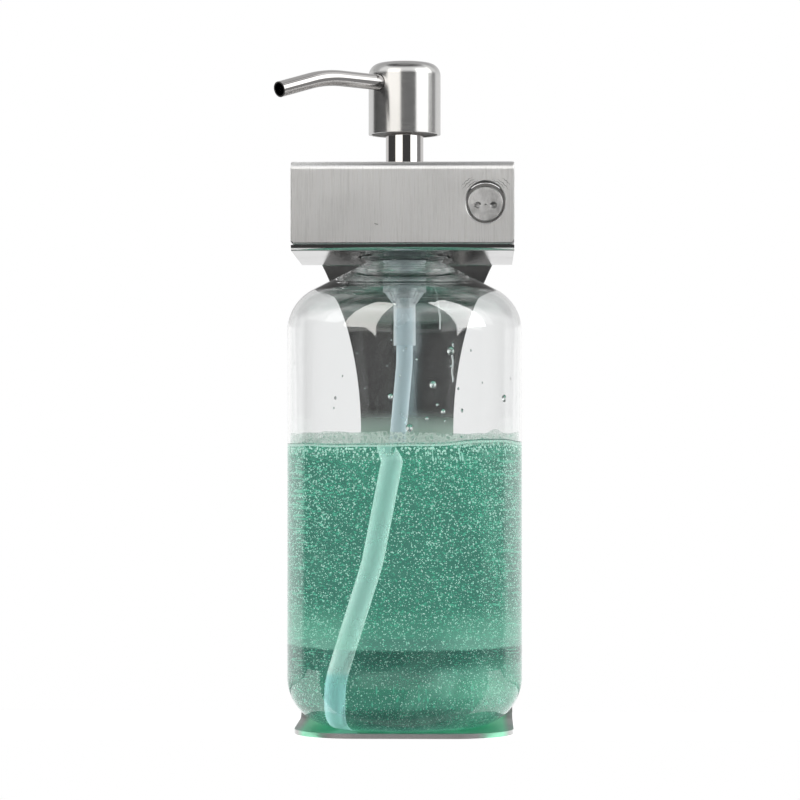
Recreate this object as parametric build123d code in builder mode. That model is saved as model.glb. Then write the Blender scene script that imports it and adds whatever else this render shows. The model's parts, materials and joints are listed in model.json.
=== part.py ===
from build123d import *

import math
import os

# A lockable wall bracket that holds a clear bottle of liquid soap with a lotion pump.
# Frame: millimetres, +Z up, the user at -Y, the wall at +Y, and the origin on the
# bottle's axis at the underside of the tray.

# ---- Driving dimensions: bracket ----
plate_t = 1.5               # sheet of the back plate, tray and shelf
bracket_w = 70.0
wall_y = 39.5               # rear face, which lies on the wall
plate_top_z = 177.6
tray_front_y = -28.0
tray_corner_r = 20.0
tray_bend_r = 12.0          # inside radius between tray and back plate
waist_w = 31.4              # narrowest width of the back plate
waist_z = 96.8
waist_r = 126.0             # concave side arcs
screw_r = 2.25
screw_spacing = 36.0
screw_z = 172.0

# ---- Driving dimensions: neck shelf ----
shelf_z = 152.9             # underside at the front
shelf_fall = 1.1            # drop of the shelf from front to rear
shelf_bend_r = 1.5          # inside radius of both folds
shelf_hole_r = 15.0
lip_front_y = -29.7
lip_low_z = 161.0
lip_tab_z = 175.9
lip_tab_x = 15.0            # left edge of the tall lock tab
inner_w = 67.0              # everything that stands inside the hood
flange_top_z = 166.5
rivet_r = 1.6
rivet_head_r = 2.8
rivet_head_t = 1.0
rivet_z = 160.6
rivet_spacing = 17.0
rivet_count = 4

# ---- Driving dimensions: hood and lock ----
hood_t = 1.2
hood_front_y = -31.0
hood_z = 154.8
hood_top_z = 180.7
hood_bend_r = 2.5           # outside radius of the front top edge
hood_edge_r = 0.5
hood_corner_r = 1.1         # bottom corners of the front panel
stem_slot_r = 6.75
ear_z = 169.5               # ears of the back plate that hold the hood down
ear_h = 6.4
ear_gap = 0.2
lock_x = 26.0
lock_z = 167.3
lock_hole_w = 12.1
lock_hole_h = 13.1
lock_hole_lift = 0.5        # the oblong hole is centred above the plug
lock_body_r = 6.45
lock_body_t = 1.9
lock_floor_t = 0.8
plug_r = 5.55
plug_recess = 0.35          # plug face behind the hood's front
plug_shaft_r = 3.0
plug_square = 4.0
pin_spacing = 5.0
pin_drop = 0.4              # pin holes sit below the plug's centre
pin_hole_r = 0.65
pin_sink_r = 1.1
pin_depth = 1.2
dimple_r = 0.45
dimple_depth = 0.3
lock_hole_chamfer = 0.3
window_gap = 0.35           # lip window around the lock body and cam
cam_w = 5.0
cam_t = 1.5
cam_hub_r = 3.9
cam_reach = 10.5
cam_gap = 0.1
cam_screw_r = 1.2
cam_screw_head_r = 2.2
cam_screw_head_t = 1.2
cam_screw_depth = 1.5

# ---- Driving dimensions: bottle and soap ----
bottle_z = plate_t          # the bottle stands on the tray
bottle_r = 37.75
bottle_wall = 0.8
base_corner_r = 16.0
base_push_up = 2.2
wall_top_z = bottle_z + 127.0
shoulder_r = 15.0
shoulder_slope = 27.0       # degrees above horizontal
neck_r = 12.6
neck_bore_r = 10.9
neck_top_z = bottle_z + 168.0
bead_r = 14.0
bead_z = bottle_z + 150.2
bead_h = 2.0
thread_pitch = 3.175
thread_turns = 1.25
thread_z = bottle_z + 157.5
thread_depth = 1.1
thread_root_overlap = 0.1   # the ridge's root lies this deep in its wall
thread_root_w = 1.7
thread_tip_w = 0.8
thread_clearance = 0.4      # the liner's ridge is this much lower than the neck's
bead_edge_r = 0.6
soap_level_z = bottle_z + 90.0
soap_gap = 0.05             # film between soap and the walls that hold it

# ---- Driving dimensions: pump ----
fit_gap = 0.05              # running fit, radial
sleeve_gap = 0.10
gasket_t = 1.0
flange_t = 1.2
flange_r = 12.9
web_t = 1.2
collar_bore_r = 14.0
collar_liner_r = 15.6
collar_shell_r = 16.3
collar_shell_t = 0.7
collar_z = bottle_z + 153.9
collar_edge_r = 0.5
shell_hole_r = 11.6
cap_wall = 1.6
cap_top_z = bottle_z + 175.4
housing_neck_r = 9.3
housing_web_r = 9.6
housing_top_z = bottle_z + 174.0
housing_low_r = 7.0
housing_high_r = 8.0
housing_step_z = bottle_z + 158.0
cylinder_r = 5.5
cylinder_floor_z = bottle_z + 141.9
sleeve_bore_r = 6.6
sleeve_bore_z = bottle_z + 164.0
foot_rim_z = bottle_z + 140.4
foot_top_r = 5.5
foot_low_r = 3.85
foot_low_z = bottle_z + 136.2
foot_rib_count = 8
foot_rib_w = 1.0
foot_rib_r = 6.5            # at the rim, tapering down to the socket
ball_pocket_r = 2.9
ball_seat_z = bottle_z + 138.2
ball_seat_r = 1.9
inlet_ball_r = 2.5
ball_rest_gap = 0.02
socket_r = 3.55
socket_z = bottle_z + 122.4
socket_bore_z = bottle_z + 135.0
tube_r = 2.65
tube_bore_r = 1.95
tube_bend_r = 50.0
tube_end_gap = 0.5
spring_r = 4.4
spring_wire_r = 0.4
spring_turns = 5.5
spring_gap = 0.05
piston_z = bottle_z + 157.0
piston_h = 6.0
piston_r = 5.0
seal_z = piston_z + 2.0
seal_h = 2.4
seal_groove_r = 3.9
stem_r = 3.5
stem_bore_r = 2.0
stem_top_z = bottle_z + 201.0
outlet_pocket_r = 2.6
outlet_seat_z = bottle_z + 196.0
outlet_ball_r = 2.3

# ---- Driving dimensions: head and spout ----
sleeve_r = 6.05
sleeve_wall = 0.65
sleeve_z = bottle_z + 173.6
sleeve_top_z = bottle_z + 195.9
head_r = 11.6
head_z = bottle_z + 190.4
head_top_z = bottle_z + 213.4
head_wall = 1.0
head_top_t = 1.2
head_dome_r = 4.0
head_rim_recess = 0.5
head_base_t = 1.4
insert_z = bottle_z + 196.0
insert_top_z = bottle_z + 208.5
boss_z = bottle_z + 186.0
spout_z = bottle_z + 206.4
spout_r = 2.5
spout_bore_r = 2.05
spout_duct_r = 1.6
spout_gap = 0.2             # clearance round the spout in the head's shell
spout_azimuth = 225.0       # degrees from +X, so it points left and to the user
spout_root = 3.0            # distance from the pump's axis
spout_bend_at = 34.5
spout_bend_r = 50.0
spout_reach = 53.8
spout_drop = 15.8           # degrees below horizontal past the bend

# Worked-out levels
gasket_z = neck_top_z
flange_z = gasket_z + gasket_t
web_z = flange_z + flange_t
sleeve_bore = sleeve_r - sleeve_wall


def export(piece, name):
    """Label one finished piece and write it as its own STEP file."""
    piece.part.label = name
    export_step(piece.part, f"parts/{name}.step")


def ring(outer_r, inner_r, low_z, high_z):
    """Extrude a ring on the pump's axis between two heights."""
    with BuildSketch(Plane.XY.offset(low_z)) as section:
        Circle(outer_r)
        Circle(inner_r, mode=Mode.SUBTRACT)
    extrude(section.sketch, amount=high_z - low_z)


def disc(radius, low_z, high_z, mode=Mode.ADD):
    """Extrude a round disc, or cut a round bore, on the pump's axis between two heights."""
    with BuildSketch(Plane.XY.offset(low_z)) as section:
        Circle(radius)
    extrude(section.sketch, amount=high_z - low_z, mode=mode)


def taper(low_r, high_r, low_z, high_z):
    """Loft a cone on the pump's axis between two heights."""
    with BuildSketch(Plane.XY.offset(low_z)) as low:
        Circle(low_r)
    with BuildSketch(Plane.XY.offset(high_z)) as high:
        Circle(high_r)
    loft([low.sketch, high.sketch])


def facing_user(x, y, z):
    """Plane with its local X along +X, its local Y along +Z, and its normal towards the user."""
    return Plane(origin=(x, y, z), x_dir=(1, 0, 0), z_dir=(0, -1, 0))


def circles_of(piece, radius):
    """Circular edges of one radius."""
    circles = piece.edges().filter_by(GeomType.CIRCLE)
    return circles.filter_by(lambda edge: abs(edge.radius - radius) < 0.001)


def bottle_outline(inset, neck, top_z):
    """Half outline of the bottle, a given depth inside its outer surface, closed on its axis."""
    foot = bottle_r - base_corner_r
    with BuildLine() as outline:
        base = TangentArc(
            (0, bottle_z + base_push_up + inset), (foot, bottle_z + inset), tangent=(1, 0)
        )
        heel = CenterArc((foot, bottle_z + base_corner_r), base_corner_r - inset, -90, 90)
        shoulder = CenterArc(
            (bottle_r - shoulder_r, wall_top_z), shoulder_r - inset, 0, 90 - shoulder_slope
        )
        Line(heel @ 1, shoulder @ 0)
        rise = ((shoulder @ 1).X - neck) * math.tan(math.radians(shoulder_slope))
        cone = Line(shoulder @ 1, (neck, (shoulder @ 1).Y + rise))
        Polyline(cone @ 1, (neck, top_z), (0, top_z), base @ 0)
    make_face(outline.line)


def thread(radius, depth, start_z):
    """Sweep one helical thread ridge; a negative depth points it inwards."""
    root = math.copysign(thread_root_overlap, depth)
    with BuildLine() as turn:
        Helix(
            pitch=thread_pitch,
            height=thread_pitch * thread_turns,
            radius=radius,
            center=(0, 0, start_z),
        )
    start = Plane(origin=turn.line @ 0, x_dir=(1, 0, 0), z_dir=turn.line % 0)
    with BuildSketch(start) as section:
        Polygon(
            (-root, -thread_root_w / 2),
            (depth, -thread_tip_w / 2),
            (depth, thread_tip_w / 2),
            (-root, thread_root_w / 2),
            align=None,
        )
    sweep(section.sketch, path=turn.line, is_frenet=True)


os.makedirs("parts", exist_ok=True)

# ---- Bracket ----

# Back plate and tray: one folded sheet with concave sides, a rounded tray and two ears.
with BuildPart() as wall_plate:
    with BuildSketch(Plane.YZ):
        with BuildLine():
            outside = FilletPolyline(
                (tray_front_y, 0), (wall_y, 0), (wall_y, plate_top_z), radius=tray_bend_r + plate_t
            )
            inside = FilletPolyline(
                (wall_y - plate_t, plate_top_z),
                (wall_y - plate_t, plate_t),
                (tray_front_y, plate_t),
                radius=tray_bend_r,
            )
            Line(outside @ 1, inside @ 0)
            Line(inside @ 1, outside @ 0)
        make_face()
    extrude(amount=bracket_w / 2, both=True)
    with BuildSketch(Plane.XZ):
        with Locations(
            (waist_w / 2 + waist_r, waist_z),
            (-waist_w / 2 - waist_r, waist_z),
        ):
            Circle(waist_r)
    extrude(amount=bracket_w, both=True, mode=Mode.SUBTRACT)
    with BuildSketch(Plane.XZ):
        for side in (1, -1):
            with Locations((side * bracket_w / 2, shelf_z)):
                Rectangle(bracket_w - inner_w, plate_top_z, align=(Align.CENTER, Align.MIN))
            with Locations((side * bracket_w / 2, ear_z)):
                Rectangle(bracket_w - inner_w, ear_h, mode=Mode.SUBTRACT)
    extrude(amount=bracket_w, both=True, mode=Mode.SUBTRACT)
    fillet(wall_plate.edges().filter_by(Axis.Z).group_by(Axis.Y)[0], radius=tray_corner_r)
    with Locations(facing_user(0, wall_y, screw_z)):
        with GridLocations(screw_spacing, 0, 2, 1):
            Hole(radius=screw_r)
    with Locations(facing_user(0, wall_y, rivet_z)):
        with GridLocations(rivet_spacing, 0, rivet_count, 1):
            Hole(radius=rivet_r)

# Neck shelf: a folded sheet with a riveted rear flange and a front lip with the lock's window.
window_r = lock_body_r + window_gap
with BuildPart() as neck_shelf:
    shelf_rear_y = wall_y - plate_t
    with BuildSketch(Plane.YZ):
        with BuildLine():
            outside = FilletPolyline(
                (shelf_rear_y, flange_top_z),
                (shelf_rear_y, shelf_z - shelf_fall),
                (lip_front_y, shelf_z),
                (lip_front_y, lip_tab_z),
                radius=shelf_bend_r + plate_t,
            )
            inside = FilletPolyline(
                (lip_front_y + plate_t, lip_tab_z),
                (lip_front_y + plate_t, shelf_z + plate_t),
                (shelf_rear_y - plate_t, shelf_z - shelf_fall + plate_t),
                (shelf_rear_y - plate_t, flange_top_z),
                radius=shelf_bend_r,
            )
            Line(outside @ 1, inside @ 0)
            Line(inside @ 1, outside @ 0)
        make_face()
    extrude(amount=bracket_w / 2, both=True)
    with BuildSketch(Plane.XZ):
        for side in (1, -1):
            with Locations((side * bracket_w / 2, hood_z - ear_gap)):
                Rectangle(bracket_w - inner_w, lip_tab_z, align=(Align.CENTER, Align.MIN))
    extrude(amount=bracket_w, both=True, mode=Mode.SUBTRACT)
    with BuildSketch(facing_user(0, lip_front_y + 2 * plate_t, 0)):
        with Locations((lip_tab_x, lip_low_z)):
            Rectangle(bracket_w, bracket_w, align=(Align.MAX, Align.MIN))
    extrude(amount=4 * plate_t, mode=Mode.SUBTRACT)
    with BuildSketch(facing_user(lock_x, lip_front_y + 2 * plate_t, lock_z)):
        Circle(window_r)
        Rectangle(
            cam_w + 2 * window_gap, cam_reach + 2 * window_gap, align=(Align.CENTER, Align.MAX)
        )
    extrude(amount=4 * plate_t, mode=Mode.SUBTRACT)
    disc(shelf_hole_r, shelf_z - 2 * plate_t, shelf_z + 2 * plate_t, mode=Mode.SUBTRACT)
    with Locations(facing_user(0, shelf_rear_y, rivet_z)):
        with GridLocations(rivet_spacing, 0, rivet_count, 1):
            Hole(radius=rivet_r, depth=2 * plate_t)

# Shelf rivets: domed heads inside the hood, flush at the wall.
with BuildPart() as shelf_rivets:
    with BuildSketch(facing_user(0, wall_y, rivet_z)):
        with GridLocations(rivet_spacing, 0, rivet_count, 1):
            Circle(rivet_r)
    extrude(amount=2 * plate_t)
    with BuildSketch(facing_user(0, wall_y - 2 * plate_t, rivet_z)):
        with GridLocations(rivet_spacing, 0, rivet_count, 1):
            Circle(rivet_head_r)
    extrude(amount=rivet_head_t)
    rivet_fronts = shelf_rivets.faces().group_by(Axis.Y)[0]
    fillet(rivet_fronts.edges(), radius=0.8 * rivet_head_t)

# ---- Hood and lock ----

# Lock hood: folded cover, open below and behind, with a slot that passes the pump's stem.
with BuildPart() as lock_hood:
    hood_depth = wall_y - hood_front_y
    hood_h = hood_top_z - hood_z
    with BuildSketch(Plane.YZ) as hood_side:
        with Locations((hood_front_y, hood_z)):
            Rectangle(hood_depth, hood_h, align=Align.MIN)
        fillet(hood_side.vertices().group_by(Axis.Y)[-1].sort_by(Axis.X)[0], radius=hood_bend_r)
    extrude(amount=bracket_w / 2, both=True)
    fillet(lock_hood.edges().filter_by(Axis.Y).group_by(Axis.Z)[0], radius=hood_corner_r)
    end_edges = lock_hood.faces().filter_by(Axis.X).edges()
    low_edges = end_edges.filter_by(Axis.Y).group_by(Axis.Z)[0]
    rear_edges = end_edges.filter_by(Axis.Z).group_by(Axis.Y)[-1]
    fillet(end_edges - low_edges - rear_edges, radius=hood_edge_r)
    with BuildSketch(Plane.YZ) as hollow_side:
        with Locations((hood_front_y + hood_t, hood_z)):
            Rectangle(hood_depth, hood_h - hood_t, align=Align.MIN)
        fillet(
            hollow_side.vertices().group_by(Axis.Y)[-1].sort_by(Axis.X)[0],
            radius=hood_bend_r - hood_t,
        )
    extrude(amount=bracket_w / 2 - hood_t, both=True, mode=Mode.SUBTRACT)
    with BuildSketch(Plane.XY.offset(hood_top_z - 2 * hood_t)):
        Circle(stem_slot_r)
        Rectangle(2 * stem_slot_r, 2 * wall_y, align=(Align.CENTER, Align.MIN))
    extrude(amount=3 * hood_t, mode=Mode.SUBTRACT)
    with BuildSketch(facing_user(lock_x, hood_front_y, lock_z + lock_hole_lift)):
        SlotOverall(lock_hole_h, lock_hole_w, rotation=90)
    extrude(amount=2 * hood_t, both=True, mode=Mode.SUBTRACT)
    hole_edges = lock_hood.edges().group_by(Axis.Y)[0].filter_by(
        lambda edge: edge.center().X > 0 and edge.length < bracket_w / 2
    )
    lock_hole_edges = hole_edges.filter_by(lambda edge: edge.bounding_box().size.Z > 0)
    chamfer(lock_hole_edges, length=lock_hole_chamfer)
    with BuildSketch(facing_user(0, wall_y, ear_z)):
        Rectangle(2 * bracket_w, ear_h + 2 * ear_gap)
    extrude(amount=plate_t + ear_gap, mode=Mode.SUBTRACT)

# Lock body: a shallow cup fixed behind the hood's front panel.
lock_body_y = hood_front_y + hood_t
lock_body_rear_y = lock_body_y + lock_body_t
with BuildPart() as lock_body:
    with BuildSketch(facing_user(lock_x, lock_body_rear_y, lock_z)):
        Circle(lock_body_r)
    extrude(amount=lock_body_t)
    with BuildSketch(facing_user(lock_x, lock_body_rear_y - lock_floor_t, lock_z)):
        Circle(plug_r + fit_gap)
    extrude(amount=lock_body_t, mode=Mode.SUBTRACT)
    with BuildSketch(facing_user(lock_x, lock_body_rear_y, lock_z)):
        Circle(plug_shaft_r + fit_gap)
    extrude(amount=lock_body_t, mode=Mode.SUBTRACT)

# Lock plug: the disc that a two-pin key turns, with its shaft and square end.
plug_face_y = hood_front_y + plug_recess
plug_seat_y = lock_body_rear_y - lock_floor_t - fit_gap
cam_y = lock_body_rear_y + cam_gap
cam_rear_y = cam_y + cam_t
with BuildPart() as lock_plug:
    with BuildSketch(facing_user(lock_x, plug_seat_y, lock_z)):
        Circle(plug_r)
    extrude(amount=plug_seat_y - plug_face_y)
    chamfer(lock_plug.faces().sort_by(Axis.Y)[0].edges(), length=0.3)
    with BuildSketch(facing_user(lock_x, cam_y, lock_z)):
        Circle(plug_shaft_r)
    extrude(amount=cam_y - plug_seat_y)
    with BuildSketch(facing_user(lock_x, cam_rear_y, lock_z)):
        Rectangle(plug_square, plug_square)
    extrude(amount=cam_t)
    with Locations(facing_user(lock_x, plug_face_y, lock_z - pin_drop)):
        with GridLocations(pin_spacing, 0, 2, 1):
            CounterSinkHole(radius=pin_hole_r, counter_sink_radius=pin_sink_r, depth=pin_depth)
    with Locations(facing_user(lock_x, plug_face_y - dimple_r + dimple_depth, lock_z - pin_drop)):
        Sphere(dimple_r, mode=Mode.SUBTRACT)
    with BuildSketch(facing_user(lock_x, cam_rear_y, lock_z)):
        Circle(cam_screw_r)
    extrude(amount=cam_screw_depth, mode=Mode.SUBTRACT)

# Lock cam: hangs down through the lip's window, and turned to the side it hooks behind the lip.
with BuildPart() as lock_cam:
    with BuildSketch(facing_user(lock_x, cam_rear_y, lock_z)):
        Circle(cam_hub_r)
        Rectangle(cam_w, cam_reach, align=(Align.CENTER, Align.MAX))
        Rectangle(plug_square, plug_square, mode=Mode.SUBTRACT)
    extrude(amount=cam_t)
    fillet(lock_cam.edges().filter_by(Axis.Y).group_by(Axis.Z)[0], radius=1.0)

# Cam screw: a pan head that keeps the cam on the plug's square.
with BuildPart() as cam_screw:
    with BuildSketch(facing_user(lock_x, cam_rear_y, lock_z)):
        Circle(cam_screw_r)
    extrude(amount=cam_screw_depth)
    with BuildSketch(facing_user(lock_x, cam_rear_y + cam_screw_head_t, lock_z)):
        Circle(cam_screw_head_r)
    extrude(amount=cam_screw_head_t)
    fillet(cam_screw.faces().sort_by(Axis.Y)[-1].edges(), radius=0.5)

# ---- Bottle and soap ----

# Soap bottle: hollow, with a pushed-up base, a neck bead and a helical thread.
with BuildPart() as soap_bottle:
    with BuildSketch(Plane.XZ):
        bottle_outline(0, neck_r, neck_top_z)
    revolve(axis=Axis.Z)
    disc(bead_r, bead_z, bead_z + bead_h)
    fillet(circles_of(soap_bottle, bead_r), radius=bead_edge_r)
    with BuildSketch(Plane.XZ):
        bottle_outline(bottle_wall, neck_bore_r, neck_top_z)
    revolve(axis=Axis.Z, mode=Mode.SUBTRACT)
    thread(neck_r, thread_depth, thread_z)

# Centre line of the dip tube: straight in its socket, then leaning to the heel of the bottle.
with BuildLine(Plane.XZ) as tube_line:
    FilletPolyline(
        (0, socket_bore_z - tube_end_gap),
        (0, bottle_z + 117.0),
        (-2.6, bottle_z + 88.0),
        (-7.8, bottle_z + 52.5),
        (-16.6, bottle_z + 15.5),
        (-17.8, bottle_z + 2.3),
        radius=tube_bend_r,
    )
tube_end = Plane(origin=tube_line.line @ 0, z_dir=tube_line.line % 0)

# Dip tube: carries soap from the bottle's heel to the pump's socket.
with BuildPart() as dip_tube:
    with BuildSketch(tube_end):
        Circle(tube_r)
        Circle(tube_bore_r, mode=Mode.SUBTRACT)
    sweep(path=tube_line.line)

# Soap: one body of liquid around the dip tube and inside its bore.
with BuildPart() as soap_fill:
    with BuildSketch(Plane.XZ):
        bottle_outline(bottle_wall + soap_gap, neck_bore_r, neck_top_z)
    revolve(axis=Axis.Z)
    with BuildSketch(Plane.XY.offset(soap_level_z)):
        Rectangle(3 * bottle_r, 3 * bottle_r)
    extrude(amount=neck_top_z, mode=Mode.SUBTRACT)
    with BuildSketch(tube_end):
        Circle(tube_r + soap_gap)
        Circle(tube_bore_r - soap_gap, mode=Mode.SUBTRACT)
    sweep(path=tube_line.line, mode=Mode.SUBTRACT)

# ---- Collar ----

# Collar liner: plastic screw cap with an inner thread that runs between the neck's turns.
with BuildPart() as collar_liner:
    ring(collar_liner_r, collar_bore_r, collar_z, web_z)
    ring(collar_liner_r, housing_web_r, web_z, web_z + web_t)
    thread(collar_bore_r, -thread_depth + thread_clearance, thread_z + thread_pitch / 2)

# Collar shell: drawn steel skirt over the liner.
with BuildPart() as collar_shell:
    ring(collar_shell_r, collar_liner_r, collar_z, web_z + web_t)
    ring(collar_shell_r, shell_hole_r, web_z + web_t, web_z + web_t + collar_shell_t)
    fillet(circles_of(collar_shell, collar_shell_r).sort_by(Axis.Z)[-1], radius=collar_edge_r)

# Neck gasket: seals the housing's flange to the bottle's rim.
with BuildPart() as neck_gasket:
    ring(flange_r, neck_bore_r, gasket_z, flange_z)

# ---- Pump ----

# Pump housing: cylinder with a sealing flange, a ribbed foot, the ball's seat and the tube socket.
with BuildPart() as pump_housing:
    disc(housing_neck_r, web_z, housing_top_z)
    disc(flange_r, flange_z, web_z)
    disc(housing_high_r, housing_step_z, flange_z)
    disc(housing_low_r, foot_rim_z, housing_step_z)
    taper(foot_low_r, foot_top_r, foot_low_z, foot_rim_z)
    for rib in range(foot_rib_count):
        with BuildSketch(Plane.XZ.rotated((0, 0, rib * 360 / foot_rib_count))):
            Polygon(
                (0, foot_low_z),
                (foot_low_r, foot_low_z),
                (foot_rib_r, foot_rim_z),
                (0, foot_rim_z),
                align=None,
            )
        extrude(amount=foot_rib_w / 2, both=True)
    disc(socket_r, socket_z, foot_low_z)
    disc(sleeve_bore_r, sleeve_bore_z, housing_top_z, mode=Mode.SUBTRACT)
    disc(cylinder_r, cylinder_floor_z, sleeve_bore_z, mode=Mode.SUBTRACT)
    disc(ball_pocket_r, ball_seat_z, cylinder_floor_z, mode=Mode.SUBTRACT)
    disc(ball_seat_r, socket_bore_z, ball_seat_z, mode=Mode.SUBTRACT)
    disc(tube_r, socket_z, socket_bore_z, mode=Mode.SUBTRACT)

# Housing cap: snaps over the housing above the collar and guides the sleeve.
with BuildPart() as housing_cap:
    cap_z = web_z + web_t + collar_shell_t + fit_gap
    ring(housing_neck_r + cap_wall, housing_neck_r, cap_z, housing_top_z)
    ring(housing_neck_r + cap_wall, sleeve_r + sleeve_gap, housing_top_z, cap_top_z)
    fillet(circles_of(housing_cap, housing_neck_r + cap_wall).sort_by(Axis.Z)[-1], radius=0.6)

# Inlet ball: one-way valve at the cylinder's foot, resting on the edge of its seat.
inlet_rise = math.sqrt(inlet_ball_r**2 - ball_seat_r**2) + ball_rest_gap
with BuildPart() as inlet_ball:
    with Locations((0, 0, ball_seat_z + inlet_rise)):
        Sphere(inlet_ball_r)

# Return spring: stands on the cylinder's floor and pushes the piston up.
with BuildPart() as return_spring:
    spring_z = cylinder_floor_z + spring_wire_r + spring_gap
    spring_h = piston_z - spring_wire_r - spring_gap - spring_z
    with BuildLine() as coil:
        Helix(
            pitch=spring_h / spring_turns, height=spring_h, radius=spring_r, center=(0, 0, spring_z)
        )
    with BuildSketch(Plane(origin=coil.line @ 0, z_dir=coil.line % 0)):
        Circle(spring_wire_r)
    sweep(path=coil.line, is_frenet=True)

# Piston: pressed on the stem, with a groove for its seal.
with BuildPart() as piston:
    ring(piston_r, stem_r, piston_z, piston_z + piston_h)
    with BuildSketch(Plane.XY.offset(seal_z)):
        Circle(piston_r)
        Circle(seal_groove_r, mode=Mode.SUBTRACT)
    extrude(amount=seal_h, mode=Mode.SUBTRACT)

# Piston seal: rubber ring that wipes the cylinder.
with BuildPart() as piston_seal:
    ring(cylinder_r - fit_gap, seal_groove_r, seal_z, seal_z + seal_h)
    fillet(circles_of(piston_seal, cylinder_r - fit_gap), radius=0.4)

# Pump stem: hollow rod from the piston to the head, with the outlet valve's pocket at its top.
with BuildPart() as pump_stem:
    ring(stem_r, stem_bore_r, piston_z, stem_top_z)
    disc(outlet_pocket_r, outlet_seat_z, stem_top_z, mode=Mode.SUBTRACT)

# Outlet ball: one-way valve at the top of the stem.
outlet_rise = math.sqrt(outlet_ball_r**2 - stem_bore_r**2) + ball_rest_gap
with BuildPart() as outlet_ball:
    with Locations((0, 0, outlet_seat_z + outlet_rise)):
        Sphere(outlet_ball_r)

# ---- Head and spout ----

# Points of the spout's centre line, level from the head and then bent down.
outwards = Vector(1, 0, 0).rotate(Axis.Z, spout_azimuth)
spout_start = outwards * spout_root + Vector(0, 0, spout_z)
spout_bend = outwards * spout_bend_at + Vector(0, 0, spout_z)
tip_drop = (spout_reach - spout_bend_at) * math.tan(math.radians(spout_drop))
spout_tip = outwards * spout_reach + Vector(0, 0, spout_z - tip_drop)
spout_root_plane = Plane(origin=spout_start, z_dir=outwards)

# Stem sleeve: polished steel tube that shows between the hood and the head.
with BuildPart() as stem_sleeve:
    ring(sleeve_r, sleeve_bore, sleeve_z, sleeve_top_z)

# Head shell: drawn steel cup with a domed edge and a hole for the spout.
with BuildPart() as head_shell:
    disc(head_r, head_z, head_top_z)
    fillet(circles_of(head_shell, head_r).sort_by(Axis.Z)[-1], radius=head_dome_r)
    with BuildSketch(Plane.XZ) as hollow:
        with Locations((0, head_z)):
            Rectangle(head_r - head_wall, head_top_z - head_top_t - head_z, align=Align.MIN)
        fillet(
            hollow.vertices().group_by(Axis.Y)[-1].sort_by(Axis.X)[-1],
            radius=head_dome_r - head_wall,
        )
    revolve(axis=Axis.Z, mode=Mode.SUBTRACT)
    with BuildSketch(spout_root_plane):
        Circle(spout_r + spout_gap)
    extrude(amount=2 * head_r, mode=Mode.SUBTRACT)

# Head base: steel ring that closes the shell's underside around the sleeve.
with BuildPart() as head_base:
    base_z = head_z + head_rim_recess
    ring(head_r - head_wall, sleeve_r, base_z, base_z + head_base_t)

# Head insert: plastic core that grips the stem and sleeve and leads the soap to the spout.
with BuildPart() as head_insert:
    disc(sleeve_bore, boss_z, insert_z)
    disc(head_r - head_wall - fit_gap, insert_z, insert_top_z)
    disc(stem_r, boss_z, stem_top_z, mode=Mode.SUBTRACT)
    disc(spout_duct_r, stem_top_z, spout_z, mode=Mode.SUBTRACT)
    with BuildSketch(spout_root_plane):
        Circle(spout_r)
    extrude(amount=2 * head_r, mode=Mode.SUBTRACT)
    with BuildSketch(Plane(origin=(0, 0, spout_z), z_dir=outwards)):
        Circle(spout_duct_r)
    extrude(amount=spout_root, mode=Mode.SUBTRACT)

# Spout: bent steel tube with a square-cut open end.
with BuildPart() as spout:
    with BuildLine() as spout_line:
        FilletPolyline(spout_start, spout_bend, spout_tip, radius=spout_bend_r)
    with BuildSketch(spout_root_plane):
        Circle(spout_r)
        Circle(spout_bore_r, mode=Mode.SUBTRACT)
    sweep(path=spout_line.line)

# ---- Export ----

pieces = {
    "wall_plate": wall_plate,
    "neck_shelf": neck_shelf,
    "shelf_rivets": shelf_rivets,
    "lock_hood": lock_hood,
    "lock_body": lock_body,
    "lock_plug": lock_plug,
    "lock_cam": lock_cam,
    "cam_screw": cam_screw,
    "soap_bottle": soap_bottle,
    "soap_fill": soap_fill,
    "dip_tube": dip_tube,
    "collar_liner": collar_liner,
    "collar_shell": collar_shell,
    "neck_gasket": neck_gasket,
    "pump_housing": pump_housing,
    "housing_cap": housing_cap,
    "inlet_ball": inlet_ball,
    "return_spring": return_spring,
    "piston": piston,
    "piston_seal": piston_seal,
    "pump_stem": pump_stem,
    "outlet_ball": outlet_ball,
    "stem_sleeve": stem_sleeve,
    "head_shell": head_shell,
    "head_base": head_base,
    "head_insert": head_insert,
    "spout": spout,
}
for name, piece in pieces.items():
    export(piece, name)
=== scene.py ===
import json
import math
import random

import bmesh
import bpy
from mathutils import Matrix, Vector


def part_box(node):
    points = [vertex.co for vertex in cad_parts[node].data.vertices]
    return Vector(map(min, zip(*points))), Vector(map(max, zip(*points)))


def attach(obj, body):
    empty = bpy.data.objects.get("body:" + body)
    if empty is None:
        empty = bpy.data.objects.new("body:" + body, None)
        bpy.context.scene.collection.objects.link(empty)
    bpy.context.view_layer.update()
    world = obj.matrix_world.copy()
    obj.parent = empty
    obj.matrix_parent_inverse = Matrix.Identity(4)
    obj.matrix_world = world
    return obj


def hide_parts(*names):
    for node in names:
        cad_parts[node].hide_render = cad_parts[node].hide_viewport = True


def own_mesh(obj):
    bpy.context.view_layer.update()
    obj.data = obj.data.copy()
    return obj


# Looks of a wall-mounted soap dispenser: steel bracket and hood, clear bottle, green soap, pump.
# Metres, +Z up, the user at -Y, the wall at +Y. Lengths with the suffix MM are millimetres.

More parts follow.
